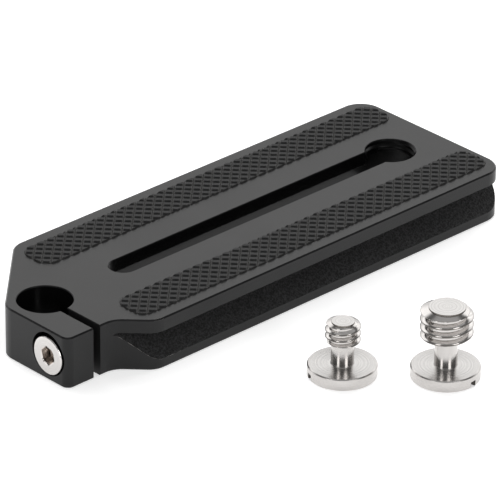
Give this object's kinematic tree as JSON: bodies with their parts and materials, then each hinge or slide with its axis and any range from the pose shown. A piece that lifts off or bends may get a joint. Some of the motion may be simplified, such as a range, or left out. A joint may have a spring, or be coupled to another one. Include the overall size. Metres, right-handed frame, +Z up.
{
  "type": "camera riser plate",
  "caption": "Black aluminium dovetail camera plate with a split rod clamp nose, a keyhole slot, rubber grip strips and flanged camera screws stood beside it.",
  "frame": {"origin": "on the axis of the rod clamp bore, at the plate's bottom face", "axes": "+X along the plate from the clamp nose to the back, +Y to the far side, away from the clamp slit, +Z up out of the top face"},
  "size_m": [0.1037, 0.0795, 0.0138],
  "materials": {
    "black_anodised": "bead-blasted, black anodised, satin",
    "grip_rubber": "matt, moulded studs",
    "stainless_cap": "bright",
    "stainless_turned": "turned, fine concentric marks"
  },
  "bodies": {
    "plate": {"plate_body": "black_anodised", "grip_strip_far": "grip_rubber", "grip_strip_near": "grip_rubber", "camera_screw_quarter": "stainless_turned", "camera_screw_three_eighths": "stainless_turned"},
    "clamp_screw": {"clamp_screw": "stainless_cap"}
  },
  "joints": [
    {"name": "clamp_screw_turn", "type": "hinge", "parent": "plate", "child": "clamp_screw", "pos_m": [-0.0071, -0.0086, 0.00488], "axis": [1, 0, 0], "range_deg": [-720, 0]}
  ]
}
